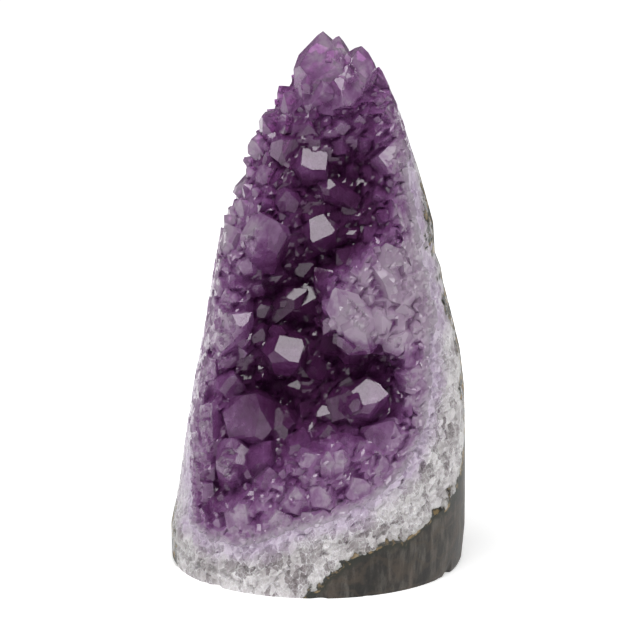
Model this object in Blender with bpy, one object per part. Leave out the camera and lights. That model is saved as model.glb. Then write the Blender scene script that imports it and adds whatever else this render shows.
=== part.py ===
"""Amethyst geode: a tall wedge sawn from the wall of a geode, standing on its flat cut base.

Three pieces grown one on the other, from the outside in: the dark basalt that held the geode, a band of
white quartz, and the crust of amethyst crystals that lines the hollow. The outside was ground smooth after
sawing, so crystals at the rim are cut off flush with it.

Blender's units are metres, +Z up. The front, with the hollow, looks along -Y, and the origin is in the
middle of the base. Tables are in millimetres, which MM turns into metres when a mesh is made.
"""

import math

import bmesh
import bpy
import numpy as np
from mathutils import Matrix, Vector

MM = 0.001
# The middle of the base in the tables' own coordinates, which start on the front view's middle line.
BASE_MIDDLE = (-0.6, 0.1, 0)

# The ground outside, from the base up. Each row is one level: its height, its left and right edges, its
# front, its back, and how far back it is widest. The crystals end below the last row.
GROUND_LEVELS = np.array([
    (0, -41.6, 39.8, -31, 31, 7),
    (1.2, -42.2, 40.4, -31, 31, 7),
    (10, -42.4, 41.2, -31, 31, 7),
    (20, -40.4, 41.2, -30.4, 30.8, 7),
    (35, -38.2, 41, -28.8, 30.2, 6.8),
    (50, -35.8, 40.6, -26.6, 29.4, 6.5),
    (61, -33.7, 39.2, -24.8, 28.6, 6.2),
    (70, -32, 37, -23.2, 27.8, 6),
    (80, -30.3, 34.3, -21.2, 26.6, 5.7),
    (84.5, -29.5, 33.5, -20.3, 26, 5.5),
    (88.5, -28.8, 31.9, -19.5, 25.4, 5.4),
    (97, -27.3, 31.3, -17.6, 24, 5.1),
    (102, -26.5, 29.9, -16.5, 23, 4.9),
    (112, -24.8, 27, -14.4, 21, 4.6),
    (121, -23.2, 24.1, -12.4, 18.8, 4.2),
    (130, -21.6, 21, -10.2, 16.4, 3.8),
    (138, -20, 17.4, -8, 14, 3.4),
    (145, -18.5, 13.6, -6, 11.6, 3),
    (152, -16, 9, -4, 9, 2.6),
    (160, -12, 4, -2, 6, 2.2),
], float)
HEIGHT, LEFT, RIGHT, FRONT, BACK, WIDEST = GROUND_LEVELS.T
FRONT_ROUND = 2.0
BACK_ROUND = 2.5
RING_POINTS = 32

# Outlines on the front view, as points across and up.
RIM_OUTLINE = [
    (-35.2, 30), (-35, 17), (-30, 13.5), (-19.5, 14.5), (-8, 19.5), (5, 22.5), (15.5, 27.5), (22, 34.5),
    (27.5, 43), (29.5, 57), (29, 68), (28.5, 80), (26, 90), (23.5, 98), (24.5, 106), (25.5, 118), (22.5, 131),
    (16.5, 140), (14, 175), (-60, 175), (-60, 90), (-29.8, 86), (-30.5, 72), (-33.2, 56.5), (-35.4, 42),
]
HOLLOW_OUTLINE = [
    (-31, 31), (-33, 24), (-31, 21), (-24, 23), (-14, 27), (-7.5, 34), (-2, 38.5), (7, 39), (14, 38.5),
    (20, 40.5), (24.5, 46), (25.5, 54), (23.5, 64), (22, 72), (21, 80), (20, 88), (19.5, 95), (21.5, 105),
    (22.5, 118), (20, 131), (15, 140), (14, 175), (-60, 175), (-60, 100), (-24, 97), (-24.5, 72), (-28, 56.5),
    (-29.5, 42),
]
# The shelf of crystals that stands out from the right side of the hollow.
SHELF_OUTLINE = [
    (34, 67), (20, 67.5), (8, 69), (1.5, 70.5), (-0.5, 78), (0.5, 85), (7, 87), (14.5, 93), (34, 96),
]
PURPLE_OUTLINE = [
    (-36.5, 28), (-36, 15), (-30, 12), (-19.5, 13), (-8, 18), (5, 21), (15.5, 26), (23, 33), (29, 42),
    (31, 57), (31, 68), (35, 78), (34, 88), (36, 104), (45, 112), (45, 175), (-60, 175), (-60, 82),
    (-33, 74), (-34.5, 56.5), (-36.5, 42),
]
QUARTZ_OUTLINE = [
    (-60, 16), (-41.5, 16), (-41, 4), (-39, -6), (-9, -6), (-4, 0.5), (0.5, 4), (6.5, 10), (16, 13.5),
    (23, 14), (28.5, 18), (35, 20.5), (38.3, 26), (40.2, 36), (40, 50), (38.6, 61), (36.4, 70),
    (33.8, 80), (31.2, 91), (29.5, 100), (26.6, 113), (30, 122), (60, 130), (60, 175), (-60, 175),
]
# Where the rock itself ends at the top and upper left, so that crystals alone make the edge there.
ROCK_OUTLINE = [
    (-60, -30), (-60, 82), (-34, 90), (-24.5, 98), (-20.5, 110), (-15.5, 120), (-11, 129), (-6, 135.5),
    (1, 139.5), (8, 139.5), (14, 136.5), (30, 138), (60, 138), (60, -30),
]

HOLLOW_DEPTH = 18
RIM_RUN = 8
RIM_DEPTH = 4
RIM_STEP = 2.5
SHELF_RISE = 11
SHELF_EDGE = 4
FULL_THICKNESS = 49
# Deep pits and full places in the hollow: across, up, radius and added depth.
PITS = [
    (8, 113, 9, 4), (13, 99, 9, 5), (3, 83, 9, 5), (-11, 77, 8, 4), (-3, 70, 7, 4), (-14, 51, 8, 5),
    (-4, 43, 7, 6), (7, 50, 7, 3), (-30, 22, 5, 2), (-15, 100, 10, -5), (-22, 85, 8, -4), (-10, 62, 7, -3),
    (-22, 40, 10, -5), (16, 47, 7, -4), (5, 125, 9, -5),
]
ROLL_START = 8
ROLL_RATE = 6
PURPLE_RECESS = 1.3
QUARTZ_RECESS = 1.6
ROOT_DEPTH = 8
ROOT_UNDER_FLOOR = 4
LEAST_QUARTZ = 4.5
BASALT_SHARE = 0.34
QUARTZ_STEP = 4
BASALT_STEP = 9
GAP = 0.3

# The front view: the line of sight through a point of it is used to place the crystals that stand out.
VIEW_DISTANCE = 620
VIEW_TILT = math.radians(12)
VIEW_CENTRE_UP = 70.3


def level_at(column, z):
    """One column of the ground outside's table at height z."""
    return np.interp(z, HEIGHT, column)


def ground_front(x, z):
    """How far back the ground front is at (x, z): an ellipse at each level, from the widest line forwards."""
    left, right = level_at(LEFT, z), level_at(RIGHT, z)
    share = np.clip(np.abs(x - (left + right) / 2) / ((right - left) / 2), 0, 1)
    widest = level_at(WIDEST, z)
    return widest - (widest - level_at(FRONT, z)) * (1 - share**FRONT_ROUND) ** (1 / FRONT_ROUND)


def inside_depth(outline, x, z):
    """Distance of (x, z) from a closed outline, positive inside it."""
    corners = np.array(outline, float)
    x, z = np.broadcast_arrays(np.asarray(x, float), np.asarray(z, float))
    nearest = np.full(x.shape, np.inf)
    inside = np.zeros(x.shape, bool)
    for (ax, az), (bx, bz) in zip(corners, np.roll(corners, -1, axis=0)):
        dx, dz = bx - ax, bz - az
        along = np.clip(((x - ax) * dx + (z - az) * dz) / (dx * dx + dz * dz), 0, 1)
        nearest = np.minimum(nearest, np.hypot(x - ax - along * dx, z - az - along * dz))
        crosses = (az > z) != (bz > z)
        if dz:
            inside ^= crosses & (x < ax + (z - az) * dx / dz)
    return np.where(inside, nearest, -nearest)


def smooth_least(a, b, blend=3):
    """The lesser of a and b, rounded where they cross."""
    share = np.clip(0.5 + (b - a) / (2 * blend), 0, 1)
    return b + (a - b) * share - blend * share * (1 - share)


def roll_over(x, z, step=0):
    """How far a layer falls back near and past the rock's top and upper left edge."""
    past = np.maximum(ROLL_START + step - inside_depth(ROCK_OUTLINE, x, z), 0)
    return past**2 / ROLL_RATE


def hollow_floor(x, z):
    """The surface that the crystals stand on: sunk inside the rim, and just proud outside it."""
    rim = inside_depth(RIM_OUTLINE, x, z)
    wall = 1 - np.exp(-((np.maximum(inside_depth(HOLLOW_OUTLINE, x, z), 0) / RIM_RUN) ** 1.2))
    depth = RIM_DEPTH + (HOLLOW_DEPTH - RIM_DEPTH) * wall
    for across, up, radius, added in PITS:
        depth = depth + added * wall * np.exp(-((x - across) ** 2 + (z - up) ** 2) / radius**2)
    shelf = np.clip(inside_depth(SHELF_OUTLINE, x, z) / SHELF_EDGE + 0.5, 0, 1)
    depth = np.maximum(depth - SHELF_RISE * shelf, np.minimum(depth, RIM_DEPTH))
    depth = depth * np.clip((level_at(BACK, z) - level_at(FRONT, z)) / FULL_THICKNESS, 0.2, 1)
    outside = np.interp(rim, [-6, 0, RIM_STEP], [1.9, 1.3, 0])
    return ground_front(x, z) + depth - RIM_DEPTH * outside + roll_over(x, z)


def basalt_face(x, z):
    """Where the basalt begins: at the ground front on the quartz's outline, falling back inside it."""
    back, front = level_at(BACK, z), level_at(FRONT, z)
    deepest = back - BASALT_SHARE * (back - front) + roll_over(x, z, BASALT_STEP)
    return smooth_least(ground_front(x, z) + QUARTZ_RECESS * inside_depth(QUARTZ_OUTLINE, x, z), deepest)


def purple_root(x, z):
    """Where the amethyst turns into white quartz."""
    floor = hollow_floor(x, z) - roll_over(x, z)
    deepest = np.maximum(floor + ROOT_UNDER_FLOOR, ground_front(x, z) + ROOT_DEPTH)
    deepest = np.minimum(deepest, basalt_face(x, z) - LEAST_QUARTZ) + roll_over(x, z, QUARTZ_STEP)
    inside = inside_depth(PURPLE_OUTLINE, x, z)
    return smooth_least(ground_front(x, z) + PURPLE_RECESS * inside, deepest)


def start_scene():
    """An empty scene in metres, with a collection for the parts and a hidden one for the cutters."""
    for obj in list(bpy.data.objects):
        bpy.data.objects.remove(obj)
    bpy.context.scene.unit_settings.system = "METRIC"
    bpy.context.scene.unit_settings.scale_length = 1
    for name in ("amethyst_geode", "cutters"):
        bpy.context.scene.collection.children.link(bpy.data.collections.new(name))


def solid_from(name, points, faces, shown=False):
    """An object made from points in millimetres."""
    mesh = bpy.data.meshes.new(name)
    mesh.from_pydata(((np.asarray(points, float) - BASE_MIDDLE) * MM).tolist(), [], faces)
    mesh.validate()
    obj = bpy.data.objects.new(name, mesh)
    bpy.data.collections["amethyst_geode" if shown else "cutters"].objects.link(obj)
    obj.hide_render = not shown
    obj.display_type = "TEXTURED" if shown else "WIRE"
    return obj


def apply_boolean(obj, operation, other, own_overlaps=False):
    """Replaces an object's mesh by its Boolean with another."""
    modifier = obj.modifiers.new(operation.lower(), "BOOLEAN")
    modifier.object = other
    modifier.operation = operation
    modifier.solver = "EXACT"
    modifier.use_self = own_overlaps
    bpy.context.view_layer.update()
    graph = bpy.context.evaluated_depsgraph_get()
    mesh = bpy.data.meshes.new_from_object(obj.evaluated_get(graph))
    obj.modifiers.clear()
    obj.data = mesh


def keep_largest_shell(obj):
    """Deletes the loose chips and sealed voids that a Boolean leaves beside the main body."""
    bm = bmesh.new()
    bm.from_mesh(obj.data)
    unseen = set(bm.verts)
    shells = []
    while unseen:
        shell = {unseen.pop()}
        edge_of_shell = set(shell)
        while edge_of_shell:
            found = {edge.other_vert(vert) for vert in edge_of_shell for edge in vert.link_edges}
            edge_of_shell = found - shell
            shell |= edge_of_shell
        unseen -= shell
        shells.append(shell)
    shells.sort(key=len)
    for shell in shells[:-1]:
        bmesh.ops.delete(bm, geom=list(shell), context="VERTS")
    bm.to_mesh(obj.data)
    bm.free()


def grid_faces(rows, columns, wrap=False):
    """Triangles over a grid of points numbered row by row."""
    faces = []
    for row in range(rows - 1):
        for column in range(columns - 1 + wrap):
            a = row * columns + column
            b = row * columns + (column + 1) % columns
            faces.append((a, b, b + columns))
            faces.append((a, b + columns, a + columns))
    return faces


def make_ground_body(name):
    """The whole outside as it was ground, from the flat base to above the highest crystal."""
    half = RING_POINTS // 2
    angles = np.linspace(-math.pi / 2, 1.5 * math.pi, RING_POINTS, endpoint=False)
    rings = []
    for z in HEIGHT:
        left, right, widest = level_at(LEFT, z), level_at(RIGHT, z), level_at(WIDEST, z)
        x = (left + right) / 2 + (right - left) / 2 * np.sin(angles)
        front = widest - (widest - level_at(FRONT, z)) * np.abs(np.cos(angles))
        around = np.abs(np.cos(angles)) ** (2 / BACK_ROUND)
        across = np.sign(np.sin(angles)) * np.abs(np.sin(angles)) ** (2 / BACK_ROUND)
        rough = 0.9 * np.sin(z / 9 + 3 * angles) + 0.5 * np.sin(z / 5 - 5 * angles)
        back_x = (left + right) / 2 + (right - left) / 2 * across
        back = widest + (level_at(BACK, z) - widest) * around - around * (1 + rough) * min(z / 12, 1)
        behind = np.arange(RING_POINTS) > half
        x, y = np.where(behind, back_x, x), np.where(behind, back, front)
        rings.append(np.stack([x, y, x * 0 + z], axis=1))
    points = np.concatenate(rings)
    last = len(points) - RING_POINTS
    faces = grid_faces(len(HEIGHT), RING_POINTS, wrap=True)
    faces.append(tuple(reversed(range(RING_POINTS))))
    faces.append(tuple(range(last, last + RING_POINTS)))
    return solid_from(name, points, faces)


def make_slab(name, field, behind=False):
    """Everything in front of a layer's face, or behind it. The grid follows the ground body's columns."""
    angles = np.linspace(-math.pi / 2, math.pi / 2, RING_POINTS // 2 + 1)
    levels = np.concatenate([[-10], np.linspace(0, 162, 20), [175]])
    rows = []
    for z in levels:
        left, right = level_at(LEFT, z), level_at(RIGHT, z)
        x = (left + right) / 2 + (right - left) / 2 * np.sin(angles)
        x = np.concatenate([[left - 50, left - 8], x, [right + 8, right + 50]])
        rows.append(np.stack([x, np.clip(field(x, np.full(x.shape, z)), -75, 75), x * 0 + z], axis=1))
    columns = len(rows[0])
    sheet = np.concatenate(rows)
    far = sheet.copy()
    far[:, 1] = 90 if behind else -90
    count = len(sheet)
    faces = grid_faces(len(levels), columns)
    edge = list(range(columns))
    edge += [row * columns + columns - 1 for row in range(1, len(levels))]
    edge += list(range(count - 2, count - columns - 1, -1))
    edge += [row * columns for row in range(len(levels) - 2, 0, -1)]
    walls = [(b, a, a + count, b + count) for a, b in zip(edge, edge[1:] + edge[:1])]
    if behind:
        solid = faces + [tuple(reversed([p + count for p in face])) for face in faces] + walls
    else:
        solid = [tuple(reversed(face)) for face in faces]
        solid += [tuple(p + count for p in face) for face in faces]
        solid += [tuple(reversed(wall)) for wall in walls]
    return solid_from(name, np.concatenate([sheet, far]), solid)


def on_sight_line(across, up, behind):
    """The point on the line of sight through a place of the front view, at behind millimetres back."""
    sin_tilt, cos_tilt = math.sin(VIEW_TILT), math.cos(VIEW_TILT)
    eye = np.array([0, -VIEW_DISTANCE * cos_tilt, VIEW_CENTRE_UP + VIEW_DISTANCE * sin_tilt])
    seen = np.array([across, up * sin_tilt, VIEW_CENTRE_UP + up * cos_tilt])
    return eye + (seen - eye) * (behind - eye[1]) / (seen[1] - eye[1])


def standing_out(across, up, forward, clear):
    """The point on that line that stands forward of the hollow's floor, clear of the ground face."""
    behind = 0.0
    for _ in range(12):
        x, _, z = on_sight_line(across, up, behind)
        floor = float(hollow_floor(x, z) - max(roll_over(x, z) - 10, 0))
        behind = 0.5 * (behind + max(floor - forward, float(ground_front(x, z)) + clear))
    return on_sight_line(across, up, behind)


def view_direction(right, up, toward):
    """A direction given as seen in the front view."""
    sin_tilt, cos_tilt = math.sin(VIEW_TILT), math.cos(VIEW_TILT)
    direction = np.array([right, up * sin_tilt - toward * cos_tilt, up * cos_tilt + toward * sin_tilt])
    return direction / np.linalg.norm(direction)


# The crystals that stand out, each named by where its tip is in the front view, from the view's middle:
# across, up, distance forward of the floor, radius, the way it points as right, up and toward the eye, and
# whether one end face lies square to the way that mirrors the light from above.
LIT_WAY = (-0.04, 0.5, 0.87)
TALL_CRYSTALS = [
    # The summit and the top of the channel
    (0.5, 80, 12.5, 8.3, -0.05, 0.85, 0.5, 0),
    (5.5, 78.5, 12, 4, 0.15, 0.95, 0.2, 0),
    (11.6, 75.6, 11, 5.5, 0.2, 0.8, 0.4, 0),
    (1.4, 63, 8, 7.2, 0, -0.1, 1, 0),
    (7, 59.6, 8, 6.1, 0.1, -0.5, 0.85, 0),
    (-9.7, 63, 8, 4.5, -0.5, 0.6, 0.6, 0),
    (-16, 56, 8, 4.5, -0.5, 0.3, 0.8, 0),
    (-9.7, 56.8, 6, 4.2, -0.3, 0.5, 0.8, 0),
    (-10.2, 50, 7, 5.5, -0.2, 0.3, 0.93, 0),
    (-2.8, 54, 3, 5, 0.1, 0.2, 1, 0),
    (13.9, 66, 9, 4.4, 0.7, -0.2, 0.7, 1),
    (18.8, 62.3, 6, 3.2, 0.3, 0.4, 0.8, 0),
    (18.8, 58.8, 5, 3.6, -0.1, 0.3, 0.9, 0),
    (-19, 50, 8, 4.5, -0.6, 0.4, 0.7, 0),
    # The upper hollow
    (2, 41.5, 7, 6.2, 0.6, -0.5, 0.5, 1),
    (-1, 37.9, 4, 3.2, -0.8, 0.3, 0.3, 1),
    (4.2, 36.9, 4, 3, 0.9, 0.1, 0.3, 1),
    (7, 33.2, 3, 3.8, -0.2, 0.4, 0.8, 0),
    (-2, 21.5, 8, 5.8, -0.3, -0.9, 0.5, 1),
    (-14.4, 28.3, 8, 6.8, 0.1, 0.6, 0.8, 0),
    (-20.8, 38.8, 7, 5.5, -0.3, 0.3, 0.9, 0),
    (-14.4, 42.4, 6, 3.6, 0, 0.4, 0.8, 0),
    (-25, 29, 6, 4.2, -0.4, 0.2, 0.9, 0),
    (23, 37.4, 5, 4.4, -0.7, 0.1, 0.7, 0),
    (19.8, 34, 6, 4.6, -0.7, 0.4, 0.3, 1),
    (21.8, 29.4, 5, 4.2, -0.8, -0.2, 0.3, 1),
    (22.2, 44.6, 5, 3.8, -0.6, -0.6, 0.3, 1),
    (16, 45.7, 6, 5, -0.5, 0.2, 0.85, 0),
    (18, 21.3, 5, 4.4, -0.3, 0.8, 0.5, 0),
    # The shelf that stands out from the right, and the middle of the hollow
    (15, 14.5, 5, 8.2, -0.45, 0.35, 0.8, 0),
    (4, 9, 8, 5.6, -0.4, 0.75, 0.5, 0),
    (8.6, 5.5, 6, 5.8, -0.2, 0.75, 0.6, 0),
    (21, 15, 4, 4.6, 0.1, 0.6, 0.8, 0),
    (16, 2.5, 4, 5.4, 0.1, 0.4, 0.9, 0),
    (23, 4.5, 4, 4.4, 0.2, 0.3, 0.9, 0),
    (21, -5, 4, 4.2, 0, 0.2, 0.95, 0),
    (-25.5, 5, 6, 5.6, 0.2, 0.7, 0.7, 0),
    (-18.8, 2, 6, 4.4, 0.7, 0.5, 0.2, 1),
    (-8, 2.6, 7, 6.3, -0.6, -0.7, 0.3, 1),
    (-6, -12, 10, 6.4, 0.5, -0.8, 0.3, 1),
    (-3.3, 8.6, 5, 4.6, 0.7, 0.4, 0.2, 1),
    (4.2, -8.3, 6, 4.6, 0, -0.3, 0.95, 0),
    (8.3, -8.3, 6, 3.6, 0, 0.2, 0.9, 0),
    (-23.5, -15.2, 5, 4.8, 0.3, 0.4, 0.85, 0),
    (-29, -11, 4, 3.8, 0.2, 0.5, 0.8, 0),
    # The lower hollow
    (-29, -22.5, 6, 6.4, 0.35, 0.8, 0.5, 0),
    (-18.3, -20.5, 12, 9.4, 0.05, 0.6, 0.8, 0),
    (-24.4, -32.5, 9, 5.8, -0.1, 0.75, 0.65, 0),
    (-32, -32, 5, 5.3, -0.2, 0.7, 0.7, 0),
    (6.2, -18.5, 9, 5.2, -0.45, 0.75, 0.45, 0),
    (19, -20.5, 8, 6.4, 0.4, 0.3, 0.6, 1),
    (20, -27.5, 7, 7.4, 0.25, 0.6, 0.75, 0),
    (11, -33.2, 5, 4, 0, 0.6, 0.8, 0),
    (2.2, -36.4, 5, 2.8, 0, 0.8, 0.6, 0),
    (6, -35.8, 5, 2.8, 0.1, 0.8, 0.6, 0),
    (-9.7, -23.6, 7, 4.4, 0.1, 0.9, 0.35, 0),
    (-4.7, -29.8, 7, 4, 0.15, 0.9, 0.35, 0),
    (-1, -26.6, 5, 3, -0.7, -0.4, 0.3, 1),
    (23.8, -15.2, 5, 4.8, -0.3, 0.2, 0.9, 0),
    (8.3, -15.6, 4, 4, -0.1, 0.6, 0.8, 0),
    (15.2, -36.4, 4, 4.8, 0, 0.6, 0.75, 0),
    (-13.9, -41, 5, 4.6, 0, 0.7, 0.7, 0),
    (-20.8, -50.5, 5, 6.8, 0, 0.45, 0.85, 0),
    (-14, -33.5, 6, 5.2, 0.3, 0.7, 0.6, 0),
    (-6.5, -46.5, 4, 6, -0.1, 0.5, 0.85, 0),
    (2.5, -46, 4, 5, 0.2, 0.5, 0.8, 0),
    (9.5, -43.5, 4, 4.6, -0.1, 0.6, 0.8, 0),
    (-29.5, -45.5, 3, 4.4, 0.5, 0.4, 0.7, 0),
    (-28, -55, 3, 3.6, -0.2, 0.4, 0.9, 0),
]
# The angle from a quartz crystal's axis to the normal of each of its six end faces.
END_FACE_ANGLE = math.radians(51.8)
# How far a tip stays behind the ground face, as a share of the radius, where a crystal lies across the view.
TIP_CLEARANCE = 0.6


def grown_crystal(tip, axis, radius, twist, length, end_faces):
    """Corners and faces of a six-sided crystal, cut to a point by six end faces at their own distances."""
    bm = bmesh.new()
    bmesh.ops.create_cone(
        bm, cap_ends=True, segments=6, radius1=radius, radius2=radius, depth=length + 2 * radius,
        matrix=Matrix.Translation((0, 0, radius - length / 2)),
    )
    for side, offset in enumerate(end_faces):
        turn = math.radians(60 * side)
        flat = math.sin(END_FACE_ANGLE)
        normal = Vector((math.sin(turn) * flat, math.cos(turn) * flat, math.cos(END_FACE_ANGLE)))
        cut = bmesh.ops.bisect_plane(
            bm, geom=bm.verts[:] + bm.edges[:] + bm.faces[:], dist=1e-4, plane_co=normal * offset * radius,
            plane_no=normal, clear_outer=True,
        )
        rim = [item for item in cut["geom_cut"] if isinstance(item, bmesh.types.BMEdge)]
        if rim:
            bmesh.ops.edgenet_fill(bm, edges=rim)
    bmesh.ops.recalc_face_normals(bm, faces=bm.faces)
    turned = Vector(axis).to_track_quat("Z", "Y").to_matrix() @ Matrix.Rotation(twist, 3, "Z")
    points = [tuple(turned @ vert.co + Vector(tip)) for vert in bm.verts]
    bm.verts.index_update()
    faces = [tuple(vert.index for vert in face.verts) for face in bm.faces]
    bm.free()
    return points, faces


def turned_to_light(axis, way):
    """An axis near the given one, and the twist about it, that set one large end face square to a way."""
    across = axis - way * (axis @ way)
    across /= np.linalg.norm(across)
    axis = way * math.cos(END_FACE_ANGLE) + across * math.sin(END_FACE_ANGLE)
    local = Vector(axis).to_track_quat("Z", "Y").to_matrix().transposed() @ Vector(way)
    return axis, math.atan2(local.y, local.x) - math.pi / 2


def end_face_offsets(rng):
    """Three large end faces that meet near the tip, with three smaller ones between them."""
    large = rng.uniform(-0.08, 0.08, 3)
    small = rng.uniform(0, 0.3, 3)
    return [value for pair in zip(large, small) for value in pair]


def floor_direction(x, z):
    """The way out of the hollow's floor, square to it."""
    step = 0.8
    along = float(hollow_floor(x + step, z) - hollow_floor(x - step, z)) / (2 * step)
    upward = float(hollow_floor(x, z + step) - hollow_floor(x, z - step)) / (2 * step)
    direction = np.array([along, -1, upward])
    return direction / np.linalg.norm(direction)


def scattered_crystals(rng, count, radii, taken):
    """Crystals between the ones that stand out, spread over the floor so that none is left bare."""
    x, z = np.meshgrid(np.arange(-42, 30, 0.9), np.arange(12, 152, 0.9))
    x, z = x.ravel(), z.ravel()
    y = hollow_floor(x, z)
    slope_x = (hollow_floor(x + 0.5, z) - y) / 0.5
    slope_z = (hollow_floor(x, z + 0.5) - y) / 0.5
    weight = np.minimum(np.sqrt(1 + slope_x**2 + slope_z**2), 6)
    open_floor = (inside_depth(RIM_OUTLINE, x, z) > 1) & (y < level_at(BACK, z) + 2)
    open_floor &= (x > level_at(LEFT, z) - 3) & (x < level_at(RIGHT, z))
    weight = np.where(open_floor, weight, 0)
    order = rng.choice(len(x), size=min(6000, int(open_floor.sum())), replace=False, p=weight / weight.sum())
    places = list(taken)
    made = []
    for index in order:
        if len(made) == count:
            break
        radius = rng.uniform(*radii)
        foot = np.array([x[index], y[index], z[index]])
        if any(np.linalg.norm(foot - other) < 0.92 * (radius + size) for other, size in places):
            continue
        places.append((foot, radius))
        axis = floor_direction(x[index], z[index]) + np.array([0, -0.15, 0.35]) + rng.normal(0, 0.22, 3)
        axis = axis / np.linalg.norm(axis)
        out = radius * rng.uniform(0.9, 1.5)
        room = (y[index] - float(ground_front(x[index], z[index])) + 0.8) / max(-axis[1], 0.4)
        fitted = min(max(room / out, 0.5), 1)
        radius, out = radius * fitted, out * fitted
        twist = rng.uniform(0, math.tau)
        made.append((foot + axis * out, axis, radius, twist, out + 7, end_face_offsets(rng)))
    return made


def crystal_list():
    """Every crystal of the crust: tip, axis, radius, twist, length and end faces."""
    rng = np.random.default_rng(11)
    crystals = []
    taken = []
    for across, up, forward, radius, right, rise, toward, lit in TALL_CRYSTALS:
        tip = standing_out(across, up, forward, TIP_CLEARANCE * radius * (1 - toward))
        axis, twist = view_direction(right, rise, toward), rng.uniform(0, math.tau)
        if lit:
            axis, twist = turned_to_light(axis, view_direction(*LIT_WAY))
        crystals.append((tip, axis, radius, twist, forward + 9, end_face_offsets(rng)))
        taken.append((tip - axis * forward * 0.9, radius))
    crystals += scattered_crystals(rng, 64, (3.1, 5), taken)
    return crystals


def make_crust(ground):
    """The amethyst: its lining and all its crystals grown into one, ground off at the outside."""
    crust = make_slab("amethyst_crust_lining", hollow_floor, behind=True)
    points, faces = [], []
    for crystal in crystal_list():
        corners, sides = grown_crystal(*crystal)
        faces += [tuple(corner + len(points) for corner in side) for side in sides]
        points += corners
    crystals = solid_from("crystals", points, faces)
    allowed = make_slab("in_front_of_the_quartz", lambda x, z: purple_root(x, z) - GAP)
    apply_boolean(allowed, "INTERSECT", ground)
    apply_boolean(crystals, "UNION", crust, own_overlaps=True)
    apply_boolean(crystals, "INTERSECT", allowed)
    return show_node(crystals, "amethyst_crust")


def make_quartz(ground):
    """The white quartz between the amethyst and the basalt."""
    band = make_slab("in_front_of_the_basalt", lambda x, z: basalt_face(x, z) - GAP)
    apply_boolean(band, "INTERSECT", ground)
    apply_boolean(band, "DIFFERENCE", make_slab("amethyst_room", purple_root))
    return show_node(band, "quartz_band")


def make_basalt(ground):
    """The rock behind and below, ground flat underneath."""
    rock = make_slab("behind_the_quartz", basalt_face, behind=True)
    apply_boolean(rock, "INTERSECT", ground)
    return show_node(rock, "basalt_matrix")


def show_node(obj, name):
    """Cleans an object and moves it to the visible collection as a part."""
    keep_largest_shell(obj)
    obj.name = name
    obj.data.name = name
    bpy.data.collections["cutters"].objects.unlink(obj)
    bpy.data.collections["amethyst_geode"].objects.link(obj)
    obj.hide_render = False
    obj.display_type = "TEXTURED"
    return obj


start_scene()
ground_body = make_ground_body("ground_body")
make_basalt(ground_body)
make_quartz(ground_body)
make_crust(ground_body)
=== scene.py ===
"""An amethyst geode standing on its cut base: basalt, white quartz and a crust of purple crystals.

The three pieces are made in the order they grew, from the rock inwards. Their shapes are worked out in
millimetres on the front view, and turned into metres when a mesh is made.
"""

import math

import bmesh
import bpy
import numpy as np
from mathutils import Matrix, Vector


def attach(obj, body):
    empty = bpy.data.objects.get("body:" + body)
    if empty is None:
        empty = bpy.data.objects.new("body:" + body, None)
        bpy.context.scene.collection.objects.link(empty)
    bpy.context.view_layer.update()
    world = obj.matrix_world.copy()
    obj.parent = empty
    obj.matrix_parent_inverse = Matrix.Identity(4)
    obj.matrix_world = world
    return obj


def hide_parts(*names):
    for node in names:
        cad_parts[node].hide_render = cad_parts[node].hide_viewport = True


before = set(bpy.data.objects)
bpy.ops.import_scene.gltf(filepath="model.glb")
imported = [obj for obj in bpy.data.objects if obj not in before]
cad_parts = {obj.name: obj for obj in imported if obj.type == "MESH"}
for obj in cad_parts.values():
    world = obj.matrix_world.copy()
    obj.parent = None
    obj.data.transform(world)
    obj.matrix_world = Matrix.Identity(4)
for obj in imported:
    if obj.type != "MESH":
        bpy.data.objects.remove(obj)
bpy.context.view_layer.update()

# The whole piece as it was sawn and ground
# A wedge with a flat base, round in front and rough behind. All three layers end at this outside,
# so each takes its shape from it.

MM = 0.001
BASE_MIDDLE = np.array([-0.6, 0.1, 0])
GROUND_LEVELS = np.array([
    (0, -41.6, 39.8, -31, 31, 7),
    (1.2, -42.2, 40.4, -31, 31, 7),
    (10, -42.4, 41.2, -31, 31, 7),
    (20, -40.4, 41.2, -30.4, 30.8, 7),
    (35, -38.2, 41, -28.8, 30.2, 6.8),
    (50, -35.8, 40.6, -26.6, 29.4, 6.5),
    (61, -33.7, 39.2, -24.8, 28.6, 6.2),
    (70, -32, 37, -23.2, 27.8, 6),
    (80, -30.3, 34.3, -21.2, 26.6, 5.7),
    (84.5, -29.5, 33.5, -20.3, 26, 5.5),
    (88.5, -28.8, 31.9, -19.5, 25.4, 5.4),
    (97, -27.3, 31.3, -17.6, 24, 5.1),
    (102, -26.5, 29.9, -16.5, 23, 4.9),
    (112, -24.8, 27, -14.4, 21, 4.6),
    (121, -23.2, 24.1, -12.4, 18.8, 4.2),
    (130, -21.6, 21, -10.2, 16.4, 3.8),
    (138, -20, 17.4, -8, 14, 3.4),
    (145, -18.5, 13.6, -6, 11.6, 3),
    (152, -16, 9, -4, 9, 2.6),
    (160, -12, 4, -2, 6, 2.2),
], float)
HEIGHT, LEFT, RIGHT, FRONT, BACK, WIDEST = GROUND_LEVELS.T
BACK_ROUND = 2.5
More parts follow.
